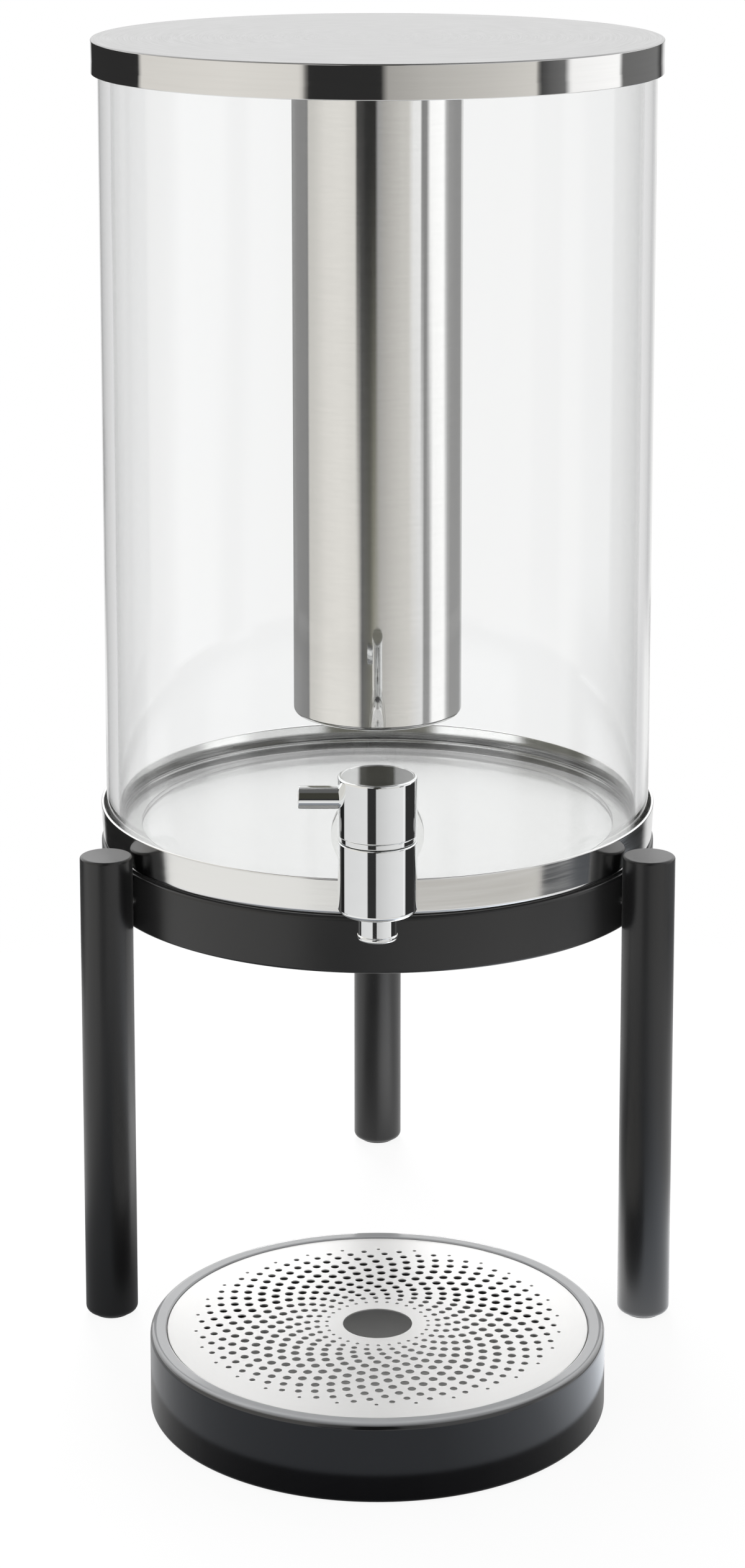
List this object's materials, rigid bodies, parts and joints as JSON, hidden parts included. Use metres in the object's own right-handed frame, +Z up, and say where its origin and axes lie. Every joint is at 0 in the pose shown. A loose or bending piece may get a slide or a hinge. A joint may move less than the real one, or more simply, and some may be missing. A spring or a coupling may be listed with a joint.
{
  "type": "glass juice dispenser",
  "caption": "Cylindrical glass juice dispenser with a steel lid and hanging ice tube, a chrome tap, a legged stand and a separate drip tray.",
  "frame": {"origin": "middle of the footprint, on the table that the feet and the tray stand on", "axes": "+Z up, -Y towards the user, where the tap and the tray are, +X to the user's right"},
  "size_m": [0.212, 0.3262, 0.4588],
  "materials": {
    "clear_glass": "clear polished",
    "polished_steel": "mirror polished",
    "satin_steel": "satin",
    "bright_chrome": "chrome plated",
    "satin_black": "satin powder coat",
    "smoky_black": "gloss",
    "black_rubber": "matt",
    "clear_silicone": "translucent"
  },
  "bodies": {
    "stand": {"stand_ring": "satin_black", "leg_1": "satin_black", "leg_2": "satin_black", "leg_3": "satin_black", "leg_screw_1": "polished_steel", "leg_screw_2": "polished_steel", "leg_screw_3": "polished_steel", "foot_pad_1": "black_rubber", "foot_pad_2": "black_rubber", "foot_pad_3": "black_rubber"},
    "base": {"base_dish": "polished_steel", "base_gasket": "clear_silicone"},
    "container": {"glass_container": "clear_glass", "outer_washer": "clear_silicone", "inner_washer": "clear_silicone", "shank_nut": "polished_steel", "tap_body": "bright_chrome", "outlet_nozzle": "bright_chrome", "gland_ring": "bright_chrome"},
    "tap_handle": {"valve_plug": "polished_steel", "upper_seal_ring": "black_rubber", "lower_seal_ring": "black_rubber", "tap_head": "bright_chrome", "lever_pin": "bright_chrome"},
    "lid": {"lid_pan": "satin_steel", "lid_seal": "clear_silicone", "tube_collar": "polished_steel"},
    "ice_tube": {"ice_tube": "polished_steel"},
    "tray": {"drip_tray": "smoky_black", "tray_pad_1": "black_rubber", "tray_pad_2": "black_rubber", "tray_pad_3": "black_rubber"},
    "drip_plate": {"drip_plate": "satin_steel"}
  },
  "joints": [
    {"name": "base_lift", "type": "slide", "parent": "stand", "child": "base", "axis": [0, 0, 1], "range_m": [0, 0.04]},
    {"name": "container_lift", "type": "slide", "parent": "base", "child": "container", "axis": [0, 0, 1], "range_m": [0, 0.06]},
    {"name": "tap_turn", "type": "hinge", "parent": "container", "child": "tap_handle", "pos_m": [0, -0.08505, 0.1945], "axis": [0, 0, 1], "range_deg": [0, 90]},
    {"name": "lid_lift", "type": "slide", "parent": "container", "child": "lid", "axis": [0, 0, 1], "range_m": [0, 0.26]},
    {"name": "ice_tube_twist", "type": "hinge", "parent": "lid", "child": "ice_tube", "pos_m": [0, 0.04215, 0.4526], "axis": [0, 0, 1], "range_deg": [0, 30]},
    {"name": "tray_slide", "type": "slide", "parent": "stand", "child": "tray", "axis": [0, -1, 0], "range_m": [-0.125, 0.2]},
    {"name": "plate_lift", "type": "slide", "parent": "tray", "child": "drip_plate", "axis": [0, 0, 1], "range_m": [0, 0.05]}
  ]
}
